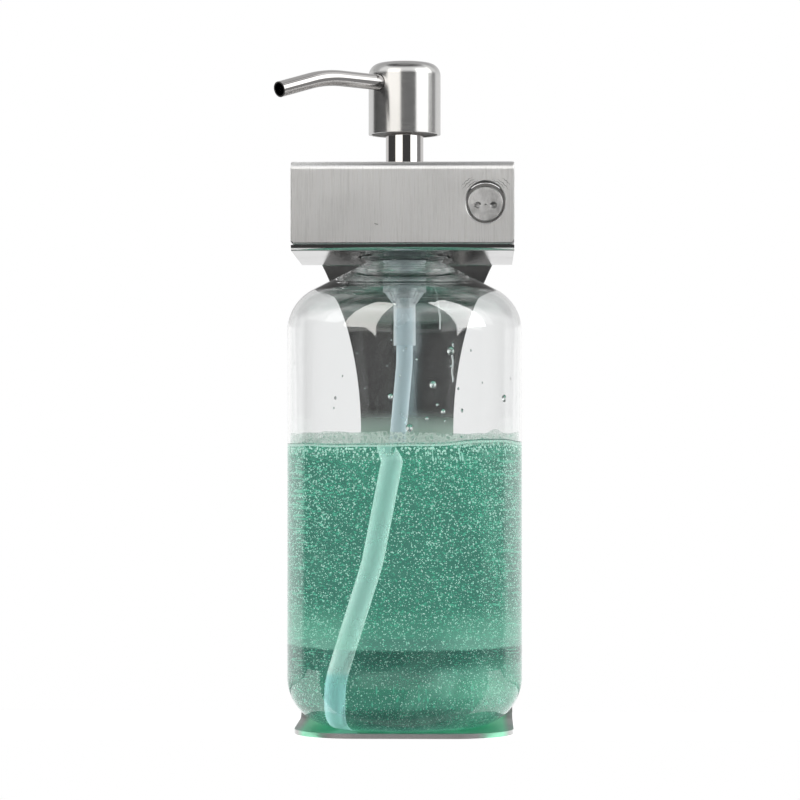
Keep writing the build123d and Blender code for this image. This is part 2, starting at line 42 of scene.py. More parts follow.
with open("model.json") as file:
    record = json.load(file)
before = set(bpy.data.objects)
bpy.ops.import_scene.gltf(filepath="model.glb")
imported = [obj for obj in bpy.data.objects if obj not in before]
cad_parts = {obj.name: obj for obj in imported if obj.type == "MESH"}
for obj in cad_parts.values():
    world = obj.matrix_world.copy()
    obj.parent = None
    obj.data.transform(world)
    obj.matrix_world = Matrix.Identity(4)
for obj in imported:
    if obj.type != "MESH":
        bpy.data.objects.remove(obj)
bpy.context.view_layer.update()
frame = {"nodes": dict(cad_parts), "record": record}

MM = 0.001
random.seed(11)

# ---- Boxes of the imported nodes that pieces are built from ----
bottle_low, bottle_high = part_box("soap_bottle")
soap_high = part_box("soap_fill")[1]
spring_low, spring_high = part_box("return_spring")
hood_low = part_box("lock_hood")[0]

# ---- Bottle profile, as in the CAD part ----
BOTTLE_R = bottle_high.x
BASE_Z = bottle_low.z
NECK_TOP_Z = bottle_high.z
WALL_T = 0.8 * MM
HEEL_R = 16.0 * MM
PUSH_UP = 2.2 * MM
WALL_TOP_Z = BASE_Z + 127.0 * MM
SHOULDER_R = 15.0 * MM
SLOPE = math.radians(27.0)
NECK_R = 12.6 * MM
BORE_R = 10.9 * MM
BEAD_R = 14.0 * MM
BEAD_Z = BASE_Z + 150.2 * MM
BEAD_H = 2.0 * MM
BEAD_ROUND = 0.6 * MM
RIM_ROUND = 0.3 * MM
ROOT_R = 13.2 * MM      # inside radius where the ribbed neck root starts
SEGMENTS = 192

# ---- Soap: its level, the layers in it and the dip tube in it ----
LEVEL_Z = soap_high.z
LAYER_Z = BASE_Z + 27.0 * MM    # lower edge of the milky layer, drawn as a painted glow, and top of the band of painted shade below it
TUBE_FILL_Z = 18.0 * MM         # soap stands this high inside the tube
COLLAR_SHADE_Z = BASE_Z + 149.0 * MM    # from here up the pump's cylinder gets less painted glow, a painted shade under the collar
TRAY_SOAP_LIGHT_Z = 11.0 * MM         # painted soap light and extra roughness in the tray reach up to here and fade out above


# ---- Node helpers ----

def add(tree, kind, inputs=None, **settings):
    """Add a shader node; an input's value is a number, a colour or another node's output."""
    made = tree.nodes.new(kind)
    for key, value in settings.items():
        setattr(made, key, value)
    for key, value in (inputs or {}).items():
        if isinstance(value, bpy.types.NodeSocket):
            tree.links.new(value, made.inputs[key])
        else:
            made.inputs[key].default_value = value
    return made


def new_material(name):
    """Empty node material and its output node."""
    material = bpy.data.materials.new(name)
    material.use_nodes = True
    material.node_tree.nodes.clear()
    output = add(material.node_tree, "ShaderNodeOutputMaterial")
    return material, material.node_tree, output


def principled(tree, output, inputs):
    """Make a Principled shader the material's surface."""
    shader = add(tree, "ShaderNodeBsdfPrincipled", inputs)
    tree.links.new(shader.outputs[0], output.inputs["Surface"])


def stretched(tree, scale):
    """Object coordinates scaled per axis, in cells per metre."""
    source = add(tree, "ShaderNodeTexCoord")
    mapping = add(tree, "ShaderNodeMapping", {"Vector": source.outputs["Object"], "Scale": scale})
    return mapping.outputs["Vector"]


def position(tree):
    """Object coordinates X, Y and Z in metres."""
    return add(tree, "ShaderNodeSeparateXYZ", {"Vector": stretched(tree, (1.0, 1.0, 1.0))}).outputs


def noise(tree, scale, detail=3.0, roughness=0.55, distortion=0.0):
    """Noise value from 0 to 1 with a cell size per axis."""
    inputs = {
        "Vector": stretched(tree, scale),
        "Scale": 1.0,
        "Detail": detail,
        "Roughness": roughness,
        "Distortion": distortion,
    }
    return add(tree, "ShaderNodeTexNoise", inputs).outputs["Fac"]


def remap(tree, value, low, high, to_low, to_high, **settings):
    """Change of range, linear unless the settings say otherwise, and held at both ends."""
    inputs = {"Value": value, "From Min": low, "From Max": high, "To Min": to_low, "To Max": to_high}
    return add(tree, "ShaderNodeMapRange", inputs, **settings).outputs["Result"]


def window(tree, value, low, high, soft):
    """1 between two limits and 0 outside, with soft edges."""
    half = soft / 2
    rise = remap(tree, value, low - half, low + half, 0.0, 1.0, interpolation_type="SMOOTHSTEP")
    fall = remap(tree, value, high - half, high + half, 1.0, 0.0, interpolation_type="SMOOTHSTEP")
    return times(tree, rise, fall)


def mix_colour(tree, factor, a, b):
    """Mix two colours."""
    return add(tree, "ShaderNodeMix", {0: factor, 6: a, 7: b}, data_type="RGBA").outputs[2]


def mix_shader(tree, factor, a, b):
    """Mix two shaders."""
    return add(tree, "ShaderNodeMixShader", {0: factor, 1: a.outputs[0], 2: b.outputs[0]})


def maths(tree, operation, a, b=0.0):
    """One maths node."""
    return add(tree, "ShaderNodeMath", {0: a, 1: b}, operation=operation).outputs[0]


def times(tree, a, b):
    """Product of two values."""
    return maths(tree, "MULTIPLY", a, b)


def relief(tree, height, strength, depth):
    """Normal of a fine relief."""
    inputs = {"Strength": strength, "Distance": depth, "Height": height}
    return add(tree, "ShaderNodeBump", inputs).outputs["Normal"]


def grey(level):
    return (level, level, level, 1.0)


def tinted(colour, factor):
    return tuple(c * factor for c in colour) + (1.0,)


# ---- Materials ----

# Painted light: the green light that the soap casts into the tray under the bottle.
PAINTED_TRAY_LIGHT = (0.42, 0.92, 0.66, 1.0)
# Painted reflection of the soap on the plate at its level, and the faint painted glow there.
PAINTED_LEVEL_REFLECTION = (0.72, 0.86, 0.79, 1.0)
PAINTED_LEVEL_GLOW = (0.76, 1.0, 0.86, 1.0)
# Colours of the milky soap's painted glow.
MILK_GLOW = ((0.24, 0.62, 0.46, 1.0), (0.38, 0.76, 0.60, 1.0))
# Colours of the painted shade on the soap.
PAINTED_SHADE_COLOURS = ((0.010, 0.060, 0.045, 1.0), (0.020, 0.090, 0.070, 1.0))


def brushed_steel(name, colour, roughness, grain, streak=0.10, bump=0.25, anisotropy=0.8, turn=0.0,
                  wear=0.5, smut=0.86, smut_size=55.0, film=False):
    """Steel with a directional brush grain and faint smudges; its roughness follows both."""
    material, tree, output = new_material(name)
    fine = noise(tree, grain, detail=4.0, roughness=0.7)
    coarse = noise(tree, tuple(g * 0.22 for g in grain), detail=2.0)
    smudge = noise(tree, (smut_size,) * 3, detail=4.0, distortion=0.6)
    blend = maths(tree, "ADD", times(tree, fine, 0.6), times(tree, coarse, 0.4))
    streaks = remap(tree, blend, 0.30, 0.70, 0.0, 1.0)
    shade = mix_colour(tree, streaks, tinted(colour, 1.0 - streak), tinted(colour, 1.0 + streak))
    dull = remap(tree, smudge, 0.45, 0.75, 0.0, wear)
    grain_roughness = remap(tree, blend, 0.3, 0.7, roughness * 0.85, roughness * 1.15)
    inputs = {
        "Base Color": mix_colour(tree, dull, shade, tinted(colour, smut)),
        "Metallic": 1.0,
        "Roughness": maths(tree, "ADD", grain_roughness, times(tree, dull, roughness * 0.35)),
        "Anisotropic": anisotropy,
        "Anisotropic Rotation": turn,
        "Normal": relief(tree, blend, bump, 0.02 * MM),
        "Tangent": add(tree, "ShaderNodeTangent", direction_type="RADIAL", axis="Z").outputs[0],
    }
    # Adds the soap's painted light to the bracket and makes it rougher there.
    if film:
        add_painted_soap_light(tree, inputs)
    principled(tree, output, inputs)
    return material


def add_painted_soap_light(tree, inputs):
    """Painted soap light on the bracket's inner faces, in the tray and in a band at the soap's level.

    It paints a green light cast in the tray and a reflection of the soap with a faint glow in the
    band, and it makes both areas rougher.
    """
    x, y, z = position(tree)
    normal = add(tree, "ShaderNodeTexCoord").outputs["Normal"]
    inwards = (0.0, -0.7, 0.7)
    facing = add(tree, "ShaderNodeVectorMath", {0: normal, 1: inwards}, operation="DOT_PRODUCT")
    facing_soap = remap(tree, facing.outputs["Value"], 0.05, 0.25, 0.0, 1.0)
    low = times(tree, remap(tree, z, TRAY_SOAP_LIGHT_Z, 1.5 * TRAY_SOAP_LIGHT_Z, 1.0, 0.0), facing_soap)
    beneath = times(
        tree,
        remap(tree, maths(tree, "ABSOLUTE", x), 31.5 * MM, 33.5 * MM, 1.0, 0.0),
        remap(tree, y, -26.2 * MM, -24.0 * MM, 0.0, 1.0),
    )
    # Painted reflection and faint painted glow of the soap, in a band on the plate at the soap's level.
    level_light = window(tree, z, LEVEL_Z - 1.0 * MM, LEVEL_Z + 8.0 * MM, 9.0 * MM)
    level_light = times(tree, level_light, facing_soap)
    # Painted light: green light cast through the soap into the tray under the bottle.
    tray_light = mix_colour(tree, times(tree, beneath, low), inputs["Base Color"], PAINTED_TRAY_LIGHT)
    # Extra roughness where the soap's painted light falls.
    film = maths(tree, "MAXIMUM", times(tree, low, 0.34), times(tree, level_light, 0.60))
    inputs["Base Color"] = mix_colour(tree, times(tree, level_light, 0.8), tray_light, PAINTED_LEVEL_REFLECTION)
    inputs["Roughness"] = maths(tree, "ADD", inputs["Roughness"], film)
    # The band's painted glow.
    inputs["Emission Color"] = PAINTED_LEVEL_GLOW
    inputs["Emission Strength"] = times(tree, level_light, 0.19)


def plastic(name, colour, roughness, clarity=0.0, grain=900.0, bump=0.1, glow=None):
    """Moulded plastic with a faint cloudy tint; clarity is how much light goes through it."""
    material, tree, output = new_material(name)
    cloud = noise(tree, (grain,) * 3)
    inputs = {
        "Base Color": mix_colour(tree, cloud, tinted(colour, 0.94), tinted(colour, 1.04)),
        "Roughness": remap(tree, cloud, 0.3, 0.7, roughness * 0.85, roughness * 1.15),
        "Transmission Weight": clarity,
        "IOR": 1.5,
        "Normal": relief(tree, cloud, bump, 0.05 * MM),
    }
    # Painted glow, so the plastic looks lit.
    if glow:
        inputs["Emission Color"], inputs["Emission Strength"] = painted_glow(tree, glow)
    principled(tree, output, inputs)
    return material


def painted_glow(tree, glow):
    """Colour and strength of the painted glow that makes translucent plastic look lit.

    glow holds its colours where the tube is filled, where it hangs in soap, and above the soap. It
    is strongest at a tube's outline, as the user sees it, a painted highlight, and weak inside the
    pump's collar, a painted shade.
    """
    filled_glow, soap_glow, dry_glow = (tinted(colour, 1.0) for colour in glow)
    place = position(tree)
    z = place["Z"]
    # Painted highlight at the outline as the user sees it.
    outline = remap(tree, maths(tree, "ABSOLUTE", place["Y"]), 1.1 * MM, 1.9 * MM, 1.0, 0.34)
    shaded = remap(tree, z, COLLAR_SHADE_Z, COLLAR_SHADE_Z + 1.5 * MM, 1.0, 0.1)
    not_filled = remap(tree, z, TUBE_FILL_Z, TUBE_FILL_Z + 1.5 * MM, 0.0, 1.0)
    above = remap(tree, z, LEVEL_Z - 0.5 * MM, LEVEL_Z + 0.5 * MM, 0.0, 1.0)
    in_soap = mix_colour(tree, not_filled, filled_glow, soap_glow)
    return mix_colour(tree, above, in_soap, dry_glow), times(tree, outline, shaded)


def foam(name):
    """Wet foam film with paler bubble walls, green between them, and a painted glow in the same colours.
    """
    material, tree, output = new_material(name)
    cells = add(
        tree,
        "ShaderNodeTexVoronoi",
        {"Vector": stretched(tree, (750.0, 750.0, 600.0)), "Scale": 1.0},
        feature="DISTANCE_TO_EDGE",
    )
    wall = remap(tree, cells.outputs["Distance"], 0.03, 0.22, 1.0, 0.0)
    patch = noise(tree, (130.0, 130.0, 90.0), detail=2.0)
    density = remap(tree, patch, 0.3, 0.7, 0.7, 1.3)
    tint = mix_colour(tree, wall, (0.30, 0.50, 0.41, 1.0), (0.72, 0.82, 0.77, 1.0))
    principled(tree, output, {
        "Base Color": tint,
        "Roughness": 0.3,
        # Painted glow in the foam's colours.
        "Emission Color": tint,
        "Emission Strength": 0.42,
        "Alpha": times(tree, remap(tree, wall, 0.0, 1.0, 0.16, 0.46), density),
    })
    return material


def drop_liquid(name):
    """Clear soap drop."""
    material, tree, output = new_material(name)
    wave = noise(tree, (600.0, 600.0, 600.0), detail=1.0)
    principled(tree, output, {
        "Base Color": mix_colour(tree, wave, (0.90, 0.97, 0.95, 1.0), (0.97, 1.0, 0.99, 1.0)),
        "Roughness": 0.02,
        "IOR": 1.34,
        "Transmission Weight": 1.0,
    })
    return material


def rubber(name):
    """Dark moulded rubber."""
    return plastic(name, (0.05, 0.05, 0.055), 0.6, grain=2500.0, bump=0.3)


def clear_plastic(name):
    """Clear blown PET: smooth and glossy, with a very faint waviness from the blow mould."""
    material, tree, output = new_material(name)
    wave = noise(tree, (38.0, 38.0, 22.0), detail=1.5)
    principled(tree, output, {
        "Base Color": mix_colour(tree, wave, (0.975, 0.981, 0.981, 1.0), (0.985, 0.990, 0.990, 1.0)),
        "Roughness": 0.0,
        "IOR": 1.52,
        "Transmission Weight": 1.0,
        "Normal": relief(tree, wave, 0.10, 0.2 * MM),
    })
    return material


def soap_glow_and_shade(tree, cloud):
    """How milky the soap looks, drawn as a painted glow, and its painted shade at the wall.

    From the top: faint swirls and the milky layer, both painted as glow, a band of painted shade
    that leaves the dip tube in sight, a pale zone of painted light at the user's right, and
    painted shade at the foot.
    """
    place = position(tree)
    x, z = place["X"], place["Z"]
    across = maths(tree, "ABSOLUTE", x)
    # Faint swirls, drawn with the same painted glow.
    swirl = times(
        tree,
        remap(tree, cloud, 0.48, 0.72, 0.0, 1.0),
        remap(tree, z, BASE_Z + 10.0 * MM, LEVEL_Z - 30.0 * MM, 0.20, 0.04),
    )
    above_layer = remap(tree, z, LAYER_Z - 0.8 * MM, LAYER_Z, 0.0, 1.0)
    layer = times(tree, remap(tree, z, LAYER_Z, LAYER_Z + 13.0 * MM, 1.0, 0.0), above_layer)
    layer = times(tree, layer, remap(tree, across, 9.0 * MM, 20.0 * MM, 0.14, 0.42))
    # Painted shade: a band under the milky layer and the foot below it, kept off the dip tube so the tube
    # stays in sight.
    band = times(
        tree,
        remap(tree, z, LAYER_Z - 13.0 * MM, LAYER_Z - 3.0 * MM, 0.25, 1.0),
        maths(tree, "SUBTRACT", 1.0, above_layer),
    )
    foot = window(tree, z, BASE_Z + 2.0 * MM, BASE_Z + 8.5 * MM, 3.0 * MM)
    tube_side = remap(tree, z, LAYER_Z - 6.5 * MM, LAYER_Z, 22.6 * MM, 19.8 * MM)
    from_tube = maths(tree, "ABSOLUTE", maths(tree, "ADD", x, tube_side))
    strength = times(
        tree,
        remap(tree, across, 8.0 * MM, 26.0 * MM, 0.48, 0.22),
        remap(tree, from_tube, 3.3 * MM, 4.2 * MM, 0.0, 1.0),
    )
    # How much painted shade the soap's surface gets.
    dark = times(tree, maths(tree, "MAXIMUM", band, foot), strength)
    # Painted light: a pale zone at the user's right, which lifts the painted shade and adds to the glow.
    pale = times(
        tree,
        remap(tree, x, 5.0 * MM, 14.0 * MM, 0.0, 1.0),
        window(tree, z, BASE_Z + 11.0 * MM, LAYER_Z - 6.0 * MM, 4.0 * MM),
    )
    pale = times(tree, pale, remap(tree, cloud, 0.40, 0.60, 0.45, 1.0))
    milky_and_pale_glow = maths(tree, "MAXIMUM", layer, times(tree, pale, 0.30))
    dark = times(tree, dark, maths(tree, "SUBTRACT", 1.0, pale))
    return maths(tree, "MAXIMUM", milky_and_pale_glow, swirl), dark


def soap_liquid(name):
    """Green soap: clear and dyed, with a milky layer and a pale zone painted as glow, painted shade in a
    band and at the foot, and a painted glow in its body.
    """
    material, tree, output = new_material(name)
    cloud = noise(tree, (45.0, 45.0, 70.0), distortion=1.2)
    milky, dark = soap_glow_and_shade(tree, cloud)
    clear_soap = add(tree, "ShaderNodeBsdfPrincipled", {
        "Base Color": (0.93, 0.99, 0.97, 1.0),
        "Roughness": 0.0,
        "IOR": 1.34,
        "Transmission Weight": 1.0,
    })
    # The milky parts are a painted glow: soap that gives off light.
    milk_glow = add(tree, "ShaderNodeEmission", {"Color": mix_colour(tree, cloud, *MILK_GLOW), "Strength": 1.0})
    painted_shade_surface = add(tree, "ShaderNodeBsdfDiffuse", {"Color": mix_colour(tree, cloud, *PAINTED_SHADE_COLOURS)})
    surface = mix_shader(tree, dark, mix_shader(tree, milky, clear_soap, milk_glow), painted_shade_surface)
    dye = {"Color": (0.20, 0.68, 0.56, 1.0), "Density": 50.0}
    absorb = add(tree, "ShaderNodeVolumeAbsorption", dye)
    # Painted glow: the soap's body gives off light.
    glow = add(tree, "ShaderNodeEmission", {"Color": (0.62, 1.0, 0.98, 1.0), "Strength": 4.1})
    body = add(tree, "ShaderNodeAddShader", {0: absorb.outputs[0], 1: glow.outputs[0]})
    tree.links.new(surface.outputs[0], output.inputs["Surface"])
    tree.links.new(body.outputs[0], output.inputs["Volume"])
    return material


def speck_material(name):
    """Fine pale bubbles held in the soap, with a painted glow."""
    material, tree, output = new_material(name)
    tone = noise(tree, (700.0, 700.0, 700.0), detail=2.0)
    base = mix_colour(tree, tone, (0.45, 0.86, 0.72, 1.0), (0.85, 0.98, 0.92, 1.0))
    principled(tree, output, {
        # Painted glow that keeps the bubbles bright.
        "Base Color": base, "Roughness": 0.4, "Emission Color": base, "Emission Strength": 0.60,
    })
    return material


def floor_material(name):
    """Pale studio paper, lit evenly."""
    material, tree, output = new_material(name)
    tone = noise(tree, (8.0, 8.0, 8.0))
    lit = add(tree, "ShaderNodeBsdfDiffuse", {"Color": mix_colour(tree, tone, grey(0.80), grey(0.84))})
    glow = add(tree, "ShaderNodeEmission", {"Color": grey(1.0), "Strength": 0.74})
    both = add(tree, "ShaderNodeAddShader", {0: lit.outputs[0], 1: glow.outputs[0]})
    tree.links.new(both.outputs[0], output.inputs["Surface"])
    return material


# ---- Mesh helpers ----

def mesh_object(name, vertices, faces):
    """New smooth-shaded mesh object in the scene, with its normals facing out."""
    mesh = bpy.data.meshes.new(name)
    mesh.from_pydata(vertices, [], faces)
    shape = bmesh.new()
    shape.from_mesh(mesh)
    bmesh.ops.recalc_face_normals(shape, faces=shape.faces)
    shape.to_mesh(mesh)
    shape.free()
    for face in mesh.polygons:
        face.use_smooth = True
    made = bpy.data.objects.new(name, mesh)
    bpy.context.scene.collection.objects.link(made)
    return made


def lathe(name, profile, segments=SEGMENTS):
    """Turn a profile of (radius, z) round the Z axis; a radius of 0 closes it with a pole."""
    vertices = []
    rings = []
    for radius, z in profile:
        if radius < 1e-7:
            rings.append([len(vertices)])
            vertices.append((0.0, 0.0, z))
            continue
        start = len(vertices)
        for step in range(segments):
            angle = 2 * math.pi * step / segments
            vertices.append((radius * math.cos(angle), radius * math.sin(angle), z))
        rings.append(list(range(start, start + segments)))
    faces = []
    for low, high in zip(rings, rings[1:]):
        for step in range(segments):
            after = (step + 1) % segments
            if len(low) == 1 and len(high) == 1:
                continue
            if len(low) == 1:
                faces.append((low[0], high[step], high[after]))
            elif len(high) == 1:
                faces.append((low[step], low[after], high[0]))
            else:
                faces.append((low[step], low[after], high[after], high[step]))
    return mesh_object(name, vertices, faces)


def tube_mesh(name, points, radius, sides):
    """Sweep a circle along points, turning it as little as possible, and close both ends."""
    vertices = []
    faces = []
    tangents = []
    for index in range(len(points)):
        before = points[max(index - 1, 0)]
        after = points[min(index + 1, len(points) - 1)]
        tangents.append((after - before).normalized())
    normal = tangents[0].orthogonal().normalized()
    for index, point in enumerate(points):
        if index:
            turn = tangents[index - 1].rotation_difference(tangents[index])
            normal = (turn @ normal).normalized()
        across = tangents[index].cross(normal).normalized()
        for side in range(sides):
            angle = 2 * math.pi * side / sides
            vertices.append(point + radius * (math.cos(angle) * normal + math.sin(angle) * across))
    for index in range(len(points) - 1):
        for side in range(sides):
            after = (side + 1) % sides
            low = index * sides
            high = low + sides
            faces.append((low + side, low + after, high + after, high + side))
    faces.append(tuple(range(sides))[::-1])
    last = (len(points) - 1) * sides
    faces.append(tuple(range(last, last + sides)))
    return mesh_object(name, vertices, faces)


def ball(vertices, faces, centre, radius):
    """Add one small round body of 8 sides to a list of vertices and faces."""
    sides = 8
    rows = (-0.92, -0.5, 0.0, 0.5, 0.92)
    start = len(vertices)
    vertices.append(centre + Vector((0, 0, -radius)))
    for row in rows:
        width = radius * math.sqrt(1 - row * row)
        for side in range(sides):
            angle = 2 * math.pi * side / sides
            out = Vector((width * math.cos(angle), width * math.sin(angle), radius * row))
            vertices.append(centre + out)
    vertices.append(centre + Vector((0, 0, radius)))
    last = len(vertices) - 1
    for side in range(sides):
        after = (side + 1) % sides
        faces.append((start, start + 1 + after, start + 1 + side))
        top = start + 1 + (len(rows) - 1) * sides
        faces.append((top + side, top + after, last))
        for row in range(len(rows) - 1):
            low = start + 1 + row * sides
            faces.append((low + side, low + after, low + sides + after, low + sides + side))


def arc(centre_r, centre_z, radius, start, end, steps):
    """Points of an arc in the (radius, z) plane, angles in degrees."""
    points = []
    for step in range(steps + 1):
        angle = math.radians(start + (end - start) * step / steps)
        points.append((centre_r + radius * math.cos(angle), centre_z + radius * math.sin(angle)))
    return points


def bottle_side(inset):
    """Profile from the base's middle up to the foot of the neck, a depth inside the outer face."""
    foot = BOTTLE_R - HEEL_R
    points = []
    steps = 14
    for step in range(steps):
        share = step / steps
        points.append((foot * share, BASE_Z + inset + PUSH_UP * (1 - share * share) ** 1.5))
    points += arc(foot, BASE_Z + HEEL_R, HEEL_R - inset, -90, 0, 24)
    rise = WALL_TOP_Z - BASE_Z - HEEL_R
    for step in range(1, 24):
        points.append((BOTTLE_R - inset, BASE_Z + HEEL_R + rise * step / 24))
    points += arc(
        BOTTLE_R - SHOULDER_R, WALL_TOP_Z, SHOULDER_R - inset, 0, 90 - math.degrees(SLOPE), 20
    )
    return points


def cone_to(points, radius):
    """Continue a profile up the shoulder's slope to a smaller radius."""
    last_r, last_z = points[-1]
    run = last_r - radius
    steps = 10
    return [
        (last_r - run * step / steps, last_z + run * math.tan(SLOPE) * step / steps)
        for step in range(1, steps + 1)
    ]


def finish_piece(made, body, slot, material, *nodes):
    """Give a new piece its body and material, and let it stand for CAD nodes; slot is not used."""
    made.data.materials.clear()
    made.data.materials.append(material)
    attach(made, body)
    if nodes:
        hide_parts(*nodes)
    return made


# ---- Bottle ----

def make_bottle():
    """Blown bottle: heel, shoulder, ridged neck root, bead, thread zone and rim, hollow inside."""
    outer = bottle_side(0.0)
    outer += cone_to(outer, NECK_R)
    outer += [(NECK_R, BEAD_Z - 0.5 * MM)]
    outer += arc(BEAD_R - BEAD_ROUND, BEAD_Z + BEAD_ROUND, BEAD_ROUND, -90, 0, 4)
    outer += arc(BEAD_R - BEAD_ROUND, BEAD_Z + BEAD_H - BEAD_ROUND, BEAD_ROUND, 0, 90, 4)
    outer += [(NECK_R, BEAD_Z + BEAD_H), (NECK_R, NECK_TOP_Z - RIM_ROUND)]
    outer += arc(NECK_R - RIM_ROUND, NECK_TOP_Z - RIM_ROUND, RIM_ROUND, 0, 90, 4)
    inner = bottle_side(WALL_T)
    start_z = inner[-1][1]
    for radius, rise in ((26.5, 1.25), (23.0, 2.2), (19.0, 2.75), (16.0, 2.9), (14.3, 2.75), (13.5, 2.6)):
        inner.append((radius * MM, start_z + rise * MM))
    inner.append((ROOT_R, start_z + 2.9 * MM))
    rings = 6
    steps = rings * 8
    root_z = start_z + 3.2 * MM
    for step in range(steps + 1):
        share = step / steps
        radius = ROOT_R - (ROOT_R - BORE_R) * share ** 1.6
        ripple = 0.22 * MM * (1 - share) ** 0.5 * math.sin(2 * math.pi * rings * share)
        inner.append((radius + ripple, root_z + (BEAD_Z - root_z) * share))
    inner += [(BORE_R, BEAD_Z + 2 * BEAD_H), (BORE_R, NECK_TOP_Z)]
    return lathe("bottle_glass", outer + inner[::-1])


# ---- Soap ----

MENISCUS_H = 0.9 * MM
MENISCUS_W = 3.2 * MM
CLING_W = 5.0 * MM      # rim of the surface that rises where soap clings to the wall


def make_soap():
    """Soap up to its level, reaching halfway into the bottle's wall, with a raised meniscus."""
    depth = WALL_T * 0.5
    side = [p for p in bottle_side(depth) if p[1] < LEVEL_Z - 0.8 * MM]
    radius = BOTTLE_R - depth
    side.append((radius, LEVEL_Z + MENISCUS_H))
    steps = 8
    for step in range(1, steps + 1):
        share = step / steps
        side.append((radius - MENISCUS_W * share, LEVEL_Z + MENISCUS_H * (1 - share) ** 2.2))
    for step in range(1, steps + 1):
        side.append(((radius - MENISCUS_W) * (1 - step / steps), LEVEL_Z))
    made = lathe("soap_liquid", side)
    for vertex in made.data.vertices:
        reach = math.hypot(vertex.co.x, vertex.co.y)
        if reach > radius - CLING_W and vertex.co.z > LEVEL_Z - 0.1 * MM:
            share = (reach - (radius - CLING_W)) / CLING_W
            vertex.co.z += level_rise(math.atan2(vertex.co.y, vertex.co.x)) * share ** 1.5
    return made


def level_rise(angle):
    """How far the soap clings up the wall, most at the user's right."""
    side = max(0.0, math.cos(angle - math.radians(-38))) ** 6
    wave = 0.12 * math.sin(7 * angle + 0.6) + 0.08 * math.sin(13 * angle + 2.0)
    return (1.3 * side + wave + 0.1) * MM


def froth_top(angle):
    """Height of the foam film above the soap's level."""
    wave = 0.35 * math.sin(3 * angle + 1.1) + 0.25 * math.sin(5 * angle + 2.7)
    fine = 0.12 * math.sin(17 * angle) + 0.10 * math.sin(29 * angle + 1.0)
    bump = 1.6 * math.exp(-((angle - math.radians(-40)) / 0.10) ** 2)
    return (4.0 + wave + fine + bump) * MM


def make_froth():
    """Film of foam that clings to the wall above the soap, thinning to an uneven top edge."""
    outer = BOTTLE_R - WALL_T - 0.01 * MM
    rows = 6
    segments = 288
    vertices = []
    faces = []
    for step in range(segments):
        angle = 2 * math.pi * step / segments - math.pi
        top = froth_top(angle)
        for row in range(rows):
            share = row / (rows - 1)
            height = LEVEL_Z + 0.2 * MM + top * share
            vertices.append((outer * math.cos(angle), outer * math.sin(angle), height))
        for row in range(rows - 1, -1, -1):
            share = row / (rows - 1)
            cell = 0.10 * MM * math.sin(61 * angle + 3 * row) * (1 - share)
            inner = outer - (0.55 * (1 - share) ** 0.7 + 0.04) * MM + cell
            height = LEVEL_Z + 0.2 * MM + top * share
            vertices.append((inner * math.cos(angle), inner * math.sin(angle), height))
    around = 2 * rows
    for step in range(segments):
        low = step * around
        high = ((step + 1) % segments) * around
        for row in range(around):
            after = (row + 1) % around
            faces.append((low + row, low + after, high + after, high + row))
    return mesh_object("soap_froth", vertices, faces)


def make_meniscus():
    """Rim of soap where its surface climbs the wall, bright from the painted glow of its material."""
    points = []
    segments = 180
    reach = BOTTLE_R - WALL_T - 0.34 * MM
    for step in range(segments + 1):
        angle = 2 * math.pi * (step % segments) / segments
        height = LEVEL_Z + level_rise(angle) - 0.15 * MM
        points.append(Vector((reach * math.cos(angle), reach * math.sin(angle), height)))
    return tube_mesh("soap_meniscus", points, 0.30 * MM, 8)


def make_bubble_collar(count):
    """Larger bubbles that float in a row just under the soap's surface, against the wall."""
    vertices = []
    faces = []
    for index in range(count):
        angle = 2 * math.pi * index / count + random.uniform(-0.012, 0.012)
        size = random.choice((0.18, 0.22, 0.28, 0.36)) * MM
        row = random.choice((1.0, 1.0, 1.7, 2.5))
        reach = BOTTLE_R - WALL_T - size - 0.1 * MM
        height = LEVEL_Z + level_rise(angle) - row * MM - random.random() * 0.4 * MM
        ball(vertices, faces, Vector((reach * math.cos(angle), reach * math.sin(angle), height)), size)
    return mesh_object("bubble_collar", vertices, faces)


def make_foam_bubbles(count):
    """Foam bubbles that gather at the wall, on the soap and in the film above it."""
    vertices = []
    faces = []
    for index in range(count):
        angle = random.uniform(-math.pi, math.pi)
        size = random.choice((0.22, 0.28, 0.34, 0.42, 0.6)) * MM
        rise = random.uniform(-0.5, 0.75) * froth_top(angle)
        reach = BOTTLE_R - WALL_T - size - 0.05 * MM - random.random() ** 2 * 1.2 * MM
        centre = Vector((reach * math.cos(angle), reach * math.sin(angle), LEVEL_Z + rise))
        ball(vertices, faces, centre, size)
    return mesh_object("froth_bubbles", vertices, faces)


# Drops on the inside of the wall: azimuth from +X in degrees, height above the level, radius, MM.
DROPS = (
    (-95.4, 15.6, 0.95), (-86.3, 6.0, 1.15), (-78, 8.8, 0.6), (-75, 19.4, 1.2), (-73, 13.0, 0.5),
    (-31.5, 15.3, 1.1), (-66, 30.0, 1.3), (-112, 29.0, 0.35), (-120, 22.0, 0.3), (-70, 11.0, 0.8),
    (-83, 27.0, 0.4), (-66, 25.0, 0.5), (-60, 11.0, 0.4), (-55, 30.0, 0.35), (-95, 33.0, 0.35),
    (-102, 9.0, 0.3), (-48, 20.0, 0.3), (-125, 12.0, 0.3), (-69, 8.0, 0.35), (-91, 22.0, 0.35),
    (-88, 30.5, 0.3), (-97, 25.0, 0.3), (-108, 18.0, 0.3), (-103, 35.0, 0.3), (-62, 18.0, 0.4),
    (60, 12.0, 0.5), (95, 24.0, 0.4), (130, 16.0, 0.5), (20, 22.0, 0.4), (170, 27.0, 0.4),
)


